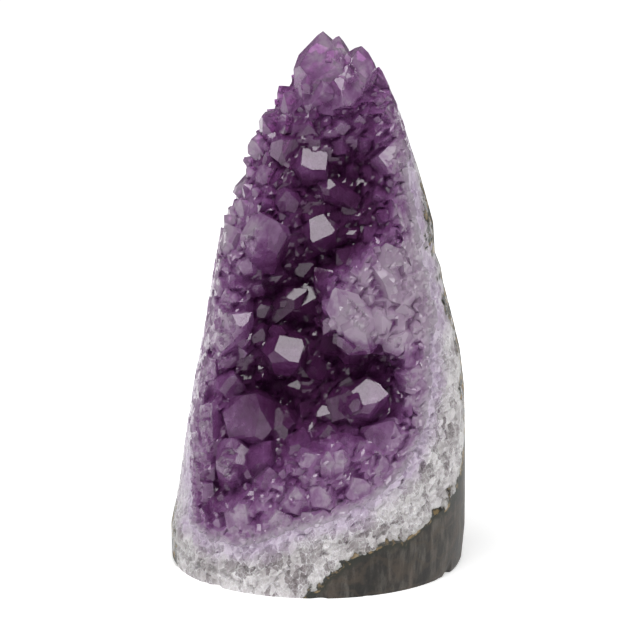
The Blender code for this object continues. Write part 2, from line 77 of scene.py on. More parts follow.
# Outlines on the front view, as points across and up. The ground face shows amethyst inside the first,
# and white quartz between the two.
PURPLE_OUTLINE = [
    (-36.5, 28), (-36, 15), (-30, 12), (-19.5, 13), (-8, 18), (5, 21), (15.5, 26), (23, 33), (29, 42),
    (31, 57), (31, 68), (35, 78), (34, 88), (36, 104), (45, 112), (45, 175), (-60, 175), (-60, 82),
    (-33, 74), (-34.5, 56.5), (-36.5, 42),
]
QUARTZ_OUTLINE = [
    (-60, 16), (-41.5, 16), (-41, 4), (-39, -6), (-9, -6), (-4, 0.5), (0.5, 4), (6.5, 10), (16, 13.5),
    (23, 14), (28.5, 18), (35, 20.5), (38.3, 26), (40.2, 36), (40, 50), (38.6, 61), (36.4, 70),
    (33.8, 80), (31.2, 91), (29.5, 100), (26.6, 113), (30, 122), (60, 130), (60, 175), (-60, 175),
]


def level_at(column, z):
    """One column of the levels' table at height z."""
    return np.interp(z, HEIGHT, column)


def inside_depth(outline, x, z):
    """Distance of (x, z) from a closed outline, positive inside it."""
    corners = np.array(outline, float)
    x, z = np.broadcast_arrays(np.asarray(x, float), np.asarray(z, float))
    nearest = np.full(x.shape, np.inf)
    inside = np.zeros(x.shape, bool)
    for (ax, az), (bx, bz) in zip(corners, np.roll(corners, -1, axis=0)):
        dx, dz = bx - ax, bz - az
        along = np.clip(((x - ax) * dx + (z - az) * dz) / (dx * dx + dz * dz), 0, 1)
        nearest = np.minimum(nearest, np.hypot(x - ax - along * dx, z - az - along * dz))
        crosses = (az > z) != (bz > z)
        if dz:
            inside ^= crosses & (x < ax + (z - az) * dx / dz)
    return np.where(inside, nearest, -nearest)


def grid_faces(rows, columns, wrap=False):
    """Triangles over a grid of points numbered row by row, as one array."""
    row, column = np.meshgrid(np.arange(rows - 1), np.arange(columns - 1 + wrap), indexing="ij")
    a = (row * columns + column).ravel()
    b = (row * columns + (column + 1) % columns).ravel()
    return np.concatenate([np.stack([a, b, b + columns], 1), np.stack([a, b + columns, a + columns], 1)])


def object_from(name, points, triangles):
    """An object whose mesh has these points, in millimetres on the front view, and these triangles."""
    mesh = bpy.data.meshes.new(name)
    mesh.vertices.add(len(points))
    mesh.vertices.foreach_set("co", ((points - BASE_MIDDLE) * MM).ravel().astype(np.float32))
    mesh.loops.add(3 * len(triangles))
    mesh.loops.foreach_set("vertex_index", triangles.ravel().astype(np.int32))
    mesh.polygons.add(len(triangles))
    mesh.polygons.foreach_set("loop_start", np.arange(0, 3 * len(triangles), 3, dtype=np.int32))
    mesh.update(calc_edges=True)
    obj = bpy.data.objects.new(name, mesh)
    bpy.context.scene.collection.objects.link(obj)
    return obj


def nearest_grain(points, seeds):
    """The number of the nearest seed to each point, found a block of points at a time."""
    found = np.empty(len(points), int)
    squares = (seeds**2).sum(axis=1)
    for start in range(0, len(points), 4000):
        block = points[start:start + 4000]
        found[start:start + 4000] = np.argmin(squares - 2 * block @ seeds.T, axis=1)
    return found


def grain_relief(points, spacing, tilt, seed):
    """Depth of the facets that broken crystal grains show: each grain is cut by a plane of its own tilt."""
    rng = np.random.default_rng(seed)
    low, high = points.min(axis=0), points.max(axis=0)
    count = (np.ceil((high - low) / spacing)).astype(int) + 1
    lattice = np.stack(np.meshgrid(*[np.arange(n) for n in count], indexing="ij"), -1).reshape(-1, 3)
    seeds = low + (lattice + rng.uniform(-0.5, 0.5, lattice.shape)) * spacing
    some = points[::7]
    close = ((seeds - some[nearest_grain(seeds, some)]) ** 2).sum(axis=1) < (1.2 * spacing) ** 2
    seeds = seeds[close]
    grain = nearest_grain(points, seeds)
    slope = rng.normal(0, tilt, seeds.shape)
    depth = rng.uniform(0.1, 0.5, len(seeds)) * spacing * tilt * 2
    relief = depth[grain] + ((points - seeds[grain]) * slope[grain]).sum(axis=1)
    return np.clip(relief, 0, spacing * 0.45)


def ground_outside():
    """The whole outside: a ring of points at each height, round in front by an ellipse and squarer behind.

    The front and sides carry the facets of the broken grains, and the back the lumps of rough rock. Returns
    the points, the way out at each, and the triangles.
    """
    front_angles = np.linspace(-math.pi / 2, math.pi / 2, 190)
    back_angles = np.linspace(math.pi / 2, 1.5 * math.pi, 92)[1:-1]
    angle = np.concatenate([front_angles, back_angles])
    height = np.concatenate([np.linspace(0, 1.2, 3)[:-1], np.linspace(1.2, 160, 262)])
    z, angle = np.meshgrid(height, angle, indexing="ij")
    left, right, widest = level_at(LEFT, z), level_at(RIGHT, z), level_at(WIDEST, z)
    middle, half = (left + right) / 2, (right - left) / 2
    behind = np.cos(angle) < -1e-9
    power = np.where(behind, 2 / BACK_ROUND, 1)
    across = np.sign(np.sin(angle)) * np.abs(np.sin(angle)) ** power
    around = np.abs(np.cos(angle)) ** power
    x = middle + half * across
    rough = 0.9 * np.sin(z / 9 + 3 * angle) + 0.5 * np.sin(z / 5 - 5 * angle)
    back = widest + (level_at(BACK, z) - widest) * around - around * (1 + rough) * np.minimum(z / 12, 1)
    y = np.where(behind, back, widest - (widest - level_at(FRONT, z)) * around)
    points = np.stack([x, y, z], axis=-1)
    normal = np.cross(np.gradient(points, axis=1), np.gradient(points, axis=0))
    normal /= np.maximum(np.linalg.norm(normal, axis=-1, keepdims=True), 1e-9)
    flat = points.reshape(-1, 3)
    fine = grain_relief(flat, 2.1, 0.36, 3).reshape(z.shape)
    coarse = grain_relief(flat, 5.2, 0.16, 4).reshape(z.shape)
    quartz = np.clip(inside_depth(QUARTZ_OUTLINE, x, z) / 1.5, 0, 1) * ~behind
    purple = np.clip(inside_depth(PURPLE_OUTLINE, x, z) / 6 + 0.3, 0, 1)
    worn_edge = np.clip((half - np.abs(x - middle)) / 6, 0.25, 1)
    relief = quartz * worn_edge * (fine * (1 - 0.5 * purple) + coarse * (0.5 + 0.5 * purple))
    relief = relief * np.clip(z / 3, 0, 1)
    lumps = grain_relief(flat, 7, 0.12, 5).reshape(z.shape)
    lumps = lumps + 0.5 * grain_relief(flat, 2.4, 0.25, 6).reshape(z.shape)
    relief = relief + behind * np.clip(-np.cos(angle) * 4, 0, 1) * lumps * np.clip(z / 6, 0, 1)
    chips = np.maximum(np.sin(7 * angle + 1) + np.sin(17 * angle + 2) + 0.5 * np.sin(41 * angle) - 0.9, 0)
    relief = relief + 0.8 * chips * np.clip(1 - z / (1.5 + 2 * chips), 0, 1)
    points = points - normal * relief[..., None]
    rows, columns = z.shape
    count = rows * columns
    centre = np.array([[middle[0, 0], 0, 0], [middle[-1, 0], 2, 160]])
    ring = np.arange(columns)
    after = (ring + 1) % columns
    caps = [
        np.stack([after, ring, np.full(columns, count)], 1),
        np.stack([ring, after, after * 0 + (count + 1 - (rows - 1) * columns)], 1) + (rows - 1) * columns,
    ]
    triangles = np.concatenate([grid_faces(rows, columns, wrap=True)] + caps)
    outward = np.concatenate([normal.reshape(-1, 3), centre * 0])
    return np.concatenate([points.reshape(-1, 3), centre]), outward, triangles


outside, outward, outside_triangles = ground_outside()
ground = object_from("ground_outside", outside, outside_triangles)

# The basalt
# Dark fine rock that held the geode. It was ground smooth in front and underneath, and left rough behind.
# A rusty line runs along its border with the quartz.

# The rock's outline on the front view. Near and past it, at the top and upper left, each layer falls back.
ROCK_OUTLINE = [
    (-60, -30), (-60, 82), (-34, 90), (-24.5, 98), (-20.5, 110), (-15.5, 120), (-11, 129), (-6, 135.5),
    (1, 139.5), (8, 139.5), (14, 136.5), (30, 138), (60, 138), (60, -30),
]
ROLL_START = 8
ROLL_RATE = 6
QUARTZ_RECESS = 1.6
BASALT_SHARE = 0.34
BASALT_STEP = 9
# How far forward or back a layer's face may go, and where the slab that starts at it ends.
FACE_LIMIT = 75
SLAB_END = 90
ROUGH_FADE = 6
RUST = (0.3, 0.21, 0.1)


def ground_front(x, z):
    """How far back the ground front is: at each level an ellipse, from the widest line forwards."""
    left, right = level_at(LEFT, z), level_at(RIGHT, z)
    share = np.clip(np.abs(x - (left + right) / 2) / ((right - left) / 2), 0, 1)
    widest = level_at(WIDEST, z)
    return widest - (widest - level_at(FRONT, z)) * np.sqrt(1 - share**2)


def smooth_least(a, b, blend=3):
    """The lesser of a and b, rounded where they cross."""
    share = np.clip(0.5 + (b - a) / (2 * blend), 0, 1)
    return b + (a - b) * share - blend * share * (1 - share)


def roll_over(x, z, step=0):
    """How far a layer falls back near and past the rock's top and upper left edge: a square law."""
    return np.maximum(ROLL_START + step - inside_depth(ROCK_OUTLINE, x, z), 0) ** 2 / ROLL_RATE


def basalt_face(x, z):
    """Where the basalt begins: at the ground front on the quartz's outline, falling back inside it."""
    back, front = level_at(BACK, z), level_at(FRONT, z)
    deepest = back - BASALT_SHARE * (back - front) + roll_over(x, z, BASALT_STEP)
    return smooth_least(ground_front(x, z) + QUARTZ_RECESS * inside_depth(QUARTZ_OUTLINE, x, z), deepest)


def slab(name, field, step, behind=False):
    """Everything in front of a layer's face, or behind it, with the face as a grid of this step."""
    z, x = np.meshgrid(np.arange(-6, 172, step), np.arange(-70, 70, step), indexing="ij")
    y = np.clip(field(x, z), -FACE_LIMIT, FACE_LIMIT)
    sheet = np.stack([x, y, z], axis=-1).reshape(-1, 3)
    far = sheet.copy()
    far[:, 1] = SLAB_END if behind else -SLAB_END
    rows, columns = z.shape
    count = rows * columns
    face = grid_faces(rows, columns)
    edge = np.concatenate([
        np.arange(columns),
        np.arange(1, rows) * columns + columns - 1,
        np.arange(count - 2, count - columns - 1, -1),
        np.arange(rows - 2, 0, -1) * columns,
    ])
    after = np.roll(edge, -1)
    walls = np.concatenate([
        np.stack([after, edge, edge + count], 1),
        np.stack([after, edge + count, after + count], 1),
    ])
    triangles = np.concatenate([face, face[:, ::-1] + count, walls])
    if not behind:
        triangles = triangles[:, ::-1]
    return object_from(name, np.concatenate([sheet, far]), triangles)


def combine(obj, operation, other, remove=True):
    """Replaces an object's mesh by its Boolean with another, which is then deleted."""
    modifier = obj.modifiers.new(operation.lower(), "BOOLEAN")
    modifier.object = other
    modifier.operation = operation
    modifier.solver = "MANIFOLD"
    bpy.context.view_layer.update()
    graph = bpy.context.evaluated_depsgraph_get()
    mesh = bpy.data.meshes.new_from_object(obj.evaluated_get(graph))
    obj.modifiers.clear()
    obj.data = mesh
    if remove:
        bpy.data.objects.remove(other)


def keep_largest_shell(obj):
    """Deletes the loose chips and the sealed voids beside the main body."""
    bm = bmesh.new()
    bm.from_mesh(obj.data)
    unseen = set(bm.verts)
    shells = []
    while unseen:
        shell = {unseen.pop()}
        growing = set(shell)
        while growing:
            found = {edge.other_vert(vert) for vert in growing for edge in vert.link_edges}
            growing = found - shell
            shell |= growing
        unseen -= shell
        shells.append(shell)
    shells.sort(key=len)
    for shell in shells[:-1]:
        bmesh.ops.delete(bm, geom=list(shell), context="VERTS")
    bm.to_mesh(obj.data)
    bm.free()


class Value:
    """One socket's value in a material: arithmetic on it adds Math nodes."""

    def __init__(self, tree, socket):
        self.tree = tree
        self.socket = socket

    def joined(self, operation, first, second):
        node = self.tree.nodes.new("ShaderNodeMath")
        node.operation = operation
        for place, value in zip(node.inputs, (first, second)):
            if isinstance(value, Value):
                self.tree.links.new(value.socket, place)
            else:
                place.default_value = value
        return Value(self.tree, node.outputs[0])

    def __add__(self, other):
        return self.joined("ADD", self, other)

    def __sub__(self, other):
        return self.joined("SUBTRACT", self, other)

    def __mul__(self, other):
        return self.joined("MULTIPLY", self, other)

    __radd__ = __add__

    def at_most(self, other):
        return self.joined("MINIMUM", self, other)

    def at_least(self, other):
        return self.joined("MAXIMUM", self, other)


class Finish:
    """A material and the one method that adds any node to it."""

    def __init__(self, name):
        self.material = bpy.data.materials.new(name)
        self.material.use_nodes = True
        self.tree = self.material.node_tree
        self.surface = self.tree.nodes["Principled BSDF"]
        self.result = self.tree.nodes["Material Output"]
        self.place = self.node("ShaderNodeTexCoord", output="Object")

    def put(self, sockets, values):
        for name, value in values.items():
            if isinstance(value, Value):
                self.tree.links.new(value.socket, sockets[name])
            else:
                sockets[name].default_value = value

    def node(self, kind, settings=None, values=None, output=0):
        """A node of this type: its settings first, then its sockets' values or links, then one output."""
        made = self.tree.nodes.new(kind)
        for name, setting in (settings or {}).items():
            setattr(made, name, setting)
        self.put(made.inputs, values or {})
        return Value(self.tree, made.outputs[output])

    def noise(self, scale, detail=4, rough=0.55, stretch=(1, 1, 1)):
        """Noise of this many periods to the metre, drawn out along an axis by a stretch under 1."""
        place = self.node("ShaderNodeMapping", values={"Vector": self.place, "Scale": stretch})
        values = {"Vector": place, "Scale": scale, "Detail": detail, "Roughness": rough}
        return self.node("ShaderNodeTexNoise", values=values)

    def cells(self, scale, feature="F1", output="Distance", stretch=(1, 1, 1)):
        """Bent-edged grains, this many to the metre: the distance to a middle or edge, or a colour."""
        wander = {"Vector": self.place, "Scale": scale * 1.4}
        bend = self.node("ShaderNodeTexNoise", values=wander, output="Color")
        place = self.node("ShaderNodeVectorMath", {"operation": "MULTIPLY_ADD"}, {
            0: bend, 1: (0.45 / scale, 0.45 / scale, 0.45 / scale), 2: self.place,
        })
        place = self.node("ShaderNodeMapping", values={"Vector": place, "Scale": stretch})
        return self.node(
            "ShaderNodeTexVoronoi", {"feature": feature}, {"Vector": place, "Scale": scale}, output
        )

    def stretch_to(self, value, low, high, bottom=0, top=1):
        """Maps low to high of a value smoothly onto bottom to top."""
        return self.node(
            "ShaderNodeMapRange", {"interpolation_type": "SMOOTHSTEP"},
            {"Value": value, "From Min": low, "From Max": high, "To Min": bottom, "To Max": top},
        )

    def blend(self, factor, first, second):
        """One colour over another, by a factor."""
        made = self.tree.nodes.new("ShaderNodeMix")
        made.data_type = "RGBA"
        for place, value in ((0, factor), (6, first), (7, second)):
            if isinstance(value, Value):
                self.tree.links.new(value.socket, made.inputs[place])
            else:
                made.inputs[place].default_value = value if place == 0 else (*value, 1)
        return Value(self.tree, made.outputs[2])

    def ramp(self, value, stops):
        """Colours along a value, as pairs of a position and a colour."""
        made = self.tree.nodes.new("ShaderNodeValToRGB")
        points = made.color_ramp.elements
        while len(points) < len(stops):
            points.new(0.5)
        for point, (position, colour) in zip(points, stops):
            point.position = position
            point.color = (*colour, 1)
        self.tree.links.new(value.socket, made.inputs["Fac"])
        return Value(self.tree, made.outputs["Color"])

    def bump(self, height, strength, distance, over=None):
        values = {"Height": height, "Strength": strength, "Distance": distance}
        if over:
            values["Normal"] = over
        return self.node("ShaderNodeBump", values=values, output="Normal")

    def tilted(self, scale, tilt, stretch=(1, 1, 1)):
        """The normal, tilted its own way in each grain, as the facets inside clear crystal look."""
        ways = self.node("ShaderNodeVectorMath", {"operation": "SUBTRACT"}, {
            0: self.cells(scale, output="Color", stretch=stretch), 1: (0.5, 0.5, 0.5),
        })
        if isinstance(tilt, Value):
            tilt = self.node("ShaderNodeCombineXYZ", values={"X": tilt, "Y": tilt, "Z": tilt})
        else:
            tilt = (tilt, tilt, tilt)
        square = self.node("ShaderNodeNewGeometry", output="Normal")
        leaning = self.node(
            "ShaderNodeVectorMath", {"operation": "MULTIPLY_ADD"}, {0: ways, 1: tilt, 2: square}
        )
        return self.node("ShaderNodeVectorMath", {"operation": "NORMALIZE"}, {0: leaning})

    def attribute(self, name):
        return self.node("ShaderNodeAttribute", {"attribute_name": name}, output="Fac")


def measured(obj, name, rule):
    """Keeps a number at each point of a mesh, from its place in millimetres on the front view."""
    mesh = obj.data
    points = np.empty(3 * len(mesh.vertices), np.float32)
    mesh.vertices.foreach_get("co", points)
    x, y, z = (points.reshape(-1, 3) / MM + BASE_MIDDLE).T
    kept = mesh.attributes.new(name, "FLOAT", "POINT")
    kept.data.foreach_set("value", rule(x, y, z).astype(np.float32))


def dressed(obj, finish):
    """Gives a piece its one material, and leaves its facets flat."""
    obj.data.materials.clear()
    obj.data.materials.append(finish.material)
    obj.data.polygons.foreach_set("use_smooth", np.zeros(len(obj.data.polygons), bool))
    obj.data.update()


def border_waves(finish):
    """How far the border of the basalt and the quartz wanders, in millimetres."""
    return (finish.noise(160, 4) - 0.5) * 6 + (finish.noise(620, 3) - 0.5) * 2


def basalt_finish():
    """Grey-brown rock with upright streaks and specks; grey-green, then rust, towards the quartz."""
    finish = Finish("basalt")
    border = finish.attribute("from_quartz") + border_waves(finish)
    patches = finish.stretch_to(finish.noise(420, 3), 0.45, 0.6)
    streaks = finish.noise(330, 6, 0.62, stretch=(1, 1, 0.25))
    veins = finish.noise(150, 4, 0.6, stretch=(1, 1, 0.12))
    mottle = finish.noise(120, 5, 0.65)
    specks = finish.cells(1500)
    stone = finish.ramp(streaks, [
        (0.3, (0.008, 0.007, 0.006)), (0.48, (0.026, 0.023, 0.02)), (0.68, (0.13, 0.118, 0.102)),
    ])
    stone = finish.blend(finish.stretch_to(mottle, 0.45, 0.68, 0, 0.5), stone, (0.1, 0.074, 0.056))
    stone = finish.blend(finish.stretch_to(veins, 0.58, 0.72, 0, 0.5), stone, (0.19, 0.158, 0.13))
    stone = finish.blend(finish.stretch_to(specks, 0.1, 0.35, 0.4, 0), stone, (0.012, 0.012, 0.01))
    bands = finish.node(
        "ShaderNodeTexWave", {"bands_direction": "Z"},
        {"Vector": finish.place, "Scale": 60, "Distortion": 14, "Detail": 4, "Detail Scale": 1.6}, "Fac",
    )
    stone = finish.blend(finish.stretch_to(bands, 0.6, 1, 0, 0.4), stone, (0.075, 0.055, 0.038))
    stone = finish.blend(finish.stretch_to(border, 2.4, 1, 0, 0.8), stone, (0.022, 0.026, 0.02))
    stone = finish.blend(finish.stretch_to(border, 0.9, 0.5, 0, 0.9) * patches, stone, RUST)
    stone = finish.blend(finish.stretch_to(border, 0, -0.3, 0, 0.9), stone, (0.5, 0.49, 0.49))
    rough = finish.attribute("behind").at_least(0).at_most(1)
    stone = finish.blend(rough * 0.45, stone, (0.11, 0.103, 0.093))
    grain = finish.noise(900, 5) * 0.6 + streaks * 0.4
    finish.put(finish.surface.inputs, {
        "Base Color": stone,
        "Roughness": finish.stretch_to(streaks, 0.3, 0.7, 0.42, 0.6) + rough * 0.3,
        "Specular IOR Level": 0.35,
        "Normal": finish.bump(grain, 0.5, 0.00035),
    })
    return finish


basalt = slab("basalt_rind", basalt_face, step=1.2, behind=True)
combine(basalt, "INTERSECT", ground, remove=False)
keep_largest_shell(basalt)
measured(basalt, "from_quartz", lambda x, y, z: (y - basalt_face(x, z)) / QUARTZ_RECESS)
measured(basalt, "behind", lambda x, y, z: (y - level_at(WIDEST, z)) / ROUGH_FADE)
dressed(basalt, basalt_finish())
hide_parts("basalt_matrix")
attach(basalt, "root")

# The white quartz
# A band of small cloudy grains between the basalt and the amethyst, like broken ice where it was ground. It
# lines the hollow under the crystals too.

# Outlines on the front view: where the grinding ends, where the hollow's wall begins, and the shelf.
RIM_OUTLINE = [
    (-35.2, 30), (-35, 17), (-30, 13.5), (-19.5, 14.5), (-8, 19.5), (5, 22.5), (15.5, 27.5), (22, 34.5),
    (27.5, 43), (29.5, 57), (29, 68), (28.5, 80), (26, 90), (23.5, 98), (24.5, 106), (25.5, 118), (22.5, 131),
    (16.5, 140), (14, 175), (-60, 175), (-60, 90), (-29.8, 86), (-30.5, 72), (-33.2, 56.5), (-35.4, 42),
]
HOLLOW_OUTLINE = [
    (-31, 31), (-33, 24), (-31, 21), (-24, 23), (-14, 27), (-7.5, 34), (-2, 38.5), (7, 39), (14, 38.5),
    (20, 40.5), (24.5, 46), (25.5, 54), (23.5, 64), (22, 72), (21, 80), (20, 88), (19.5, 95), (21.5, 105),
    (22.5, 118), (20, 131), (15, 140), (14, 175), (-60, 175), (-60, 100), (-24, 97), (-24.5, 72), (-28, 56.5),
    (-29.5, 42),
]
SHELF_OUTLINE = [
    (34, 67), (20, 67.5), (8, 69), (1.5, 70.5), (-0.5, 78), (0.5, 85), (7, 87), (14.5, 93), (34, 96),
]
RIM_DEPTH = 4
HOLLOW_DEPTH = 18
RIM_RUN = 8
RIM_STEP = 2.5
SHELF_RISE = 11
SHELF_EDGE = 4
FULL_THICKNESS = 49
# Deep pits and full places in the hollow: across, up, radius and added depth.
PITS = [
    (8, 113, 9, 4), (13, 99, 9, 5), (3, 83, 9, 5), (-11, 77, 8, 4), (-3, 70, 7, 4), (-14, 51, 8, 5),
    (-4, 43, 7, 6), (7, 50, 7, 3), (-30, 22, 5, 2), (-15, 100, 10, -5), (-22, 85, 8, -4), (-10, 62, 7, -3),
    (-22, 40, 10, -5), (16, 47, 7, -4), (5, 125, 9, -5),
]
PURPLE_RECESS = 1.3
ROOT_DEPTH = 8
ROOT_UNDER_FLOOR = 4
LEAST_QUARTZ = 4.5
QUARTZ_STEP = 4
QUARTZ_IOR = 1.544
# Grains and hairline cracks to the metre.
QUARTZ_GRAINS = 520
QUARTZ_HAIRS = 1250


def hollow_floor(x, z):
    """The surface that the crystals stand on.

    From the ground front it sinks by a share of the full depth that nears 1 away from the hollow's outline.
    Each pit adds a bell of depth, the shelf takes its rise away, and outside the rim it stands just proud.
    """
    rim = inside_depth(RIM_OUTLINE, x, z)
    wall = 1 - np.exp(-((np.maximum(inside_depth(HOLLOW_OUTLINE, x, z), 0) / RIM_RUN) ** 1.2))
    depth = RIM_DEPTH + (HOLLOW_DEPTH - RIM_DEPTH) * wall
    for across, up, radius, added in PITS:
        depth = depth + added * wall * np.exp(-((x - across) ** 2 + (z - up) ** 2) / radius**2)
    shelf = np.clip(inside_depth(SHELF_OUTLINE, x, z) / SHELF_EDGE + 0.5, 0, 1)
    depth = np.maximum(depth - SHELF_RISE * shelf, np.minimum(depth, RIM_DEPTH))
    depth = depth * np.clip((level_at(BACK, z) - level_at(FRONT, z)) / FULL_THICKNESS, 0.2, 1)
    proud = np.interp(rim, [-6, 0, RIM_STEP], [1.9, 1.3, 0])
    return ground_front(x, z) + depth - RIM_DEPTH * proud + roll_over(x, z)


def purple_root(x, z):
    """Where the amethyst turns into white quartz: at the ground front on its outline, falling back inside."""
    floor = hollow_floor(x, z) - roll_over(x, z)
    deepest = np.maximum(floor + ROOT_UNDER_FLOOR, ground_front(x, z) + ROOT_DEPTH)
    deepest = np.minimum(deepest, basalt_face(x, z) - LEAST_QUARTZ) + roll_over(x, z, QUARTZ_STEP)
    return smooth_least(ground_front(x, z) + PURPLE_RECESS * inside_depth(PURPLE_OUTLINE, x, z), deepest)


def quartz_finish():
    """White and grey grains, a little lilac near the amethyst and stained near the basalt."""
    finish = Finish("white_quartz")
    upright = (1, 1, 0.6)
    colours = finish.cells(QUARTZ_GRAINS, output="Color", stretch=upright)
    grains = finish.node("ShaderNodeSeparateColor", values={"Color": colours})
    cracks = finish.stretch_to(finish.cells(QUARTZ_GRAINS, "DISTANCE_TO_EDGE", stretch=upright), 0.06, 0)
    hairs = finish.stretch_to(finish.cells(QUARTZ_HAIRS, "DISTANCE_TO_EDGE", stretch=upright), 0.1, 0)
    fine = finish.noise(900, 6, 0.65)
    cloud = finish.noise(110, 5)
    shade = finish.stretch_to(grains * 0.3 + fine * 0.35 + cloud * 0.45, 0.3, 0.75)
    stone = finish.ramp(shade, [
        (0, (0.24, 0.205, 0.212)), (0.5, (0.41, 0.378, 0.385)), (1, (0.68, 0.65, 0.655)),
    ])
    lines = cracks * finish.stretch_to(fine, 0.4, 0.6, 0.15, 0.6)
    lines = lines + hairs * finish.stretch_to(cloud, 0.42, 0.6, 0.15, 0.6)
    stone = finish.blend(lines.at_most(0.8), stone, (0.93, 0.93, 0.95))
    lilac = finish.attribute("from_purple") + (cloud - 0.5) * 8
    stone = finish.blend(finish.stretch_to(lilac, 7, 0, 0, 0.55), stone, (0.6, 0.46, 0.68))
    border = border_waves(finish) - finish.attribute("from_basalt")
    patches = finish.stretch_to(finish.noise(420, 3), 0.45, 0.6)
    stone = finish.blend(finish.stretch_to(border, -1.2, -0.2, 0, 0.4), stone, (0.3, 0.29, 0.26))
    stone = finish.blend(finish.stretch_to(border, -0.3, 0, 0, 0.95), stone, (0.022, 0.024, 0.019))
    stone = finish.blend(finish.stretch_to(border, -0.2, 0.2, 0, 0.9) * patches, stone, RUST)
    facets = finish.tilted(QUARTZ_GRAINS, 0.55, upright)
    finish.put(finish.surface.inputs, {
        "Base Color": stone,
        "Roughness": finish.stretch_to(grains, 0, 1, 0.12, 0.45),
        "IOR": QUARTZ_IOR,
        "Subsurface Weight": 0.55,
        "Subsurface Radius": (1, 0.95, 1.05),
        "Subsurface Scale": 0.002,
        "Normal": finish.bump(fine + lines * 0.4, 0.35, 0.0005, over=facets),
    })
    return finish


quartz = slab("white_quartz", basalt_face, step=1.2)
combine(quartz, "INTERSECT", ground)
combine(quartz, "DIFFERENCE", slab("amethyst_room", purple_root, step=1.2))
keep_largest_shell(quartz)
measured(quartz, "from_purple", lambda x, y, z: (y - purple_root(x, z)) / PURPLE_RECESS)
measured(quartz, "from_basalt", lambda x, y, z: (basalt_face(x, z) - y) / QUARTZ_RECESS)
dressed(quartz, quartz_finish())
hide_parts("quartz_band")
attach(quartz, "root")

# The amethyst crust
# Quartz crystals grown side by side into the hollow, purple at their tips and pale at their roots. They
# are one body, and those that reached the outside were ground off with it.

VIEW_DISTANCE = 620
VIEW_TILT = math.radians(12)
VIEW_CENTRE_UP = 70.3
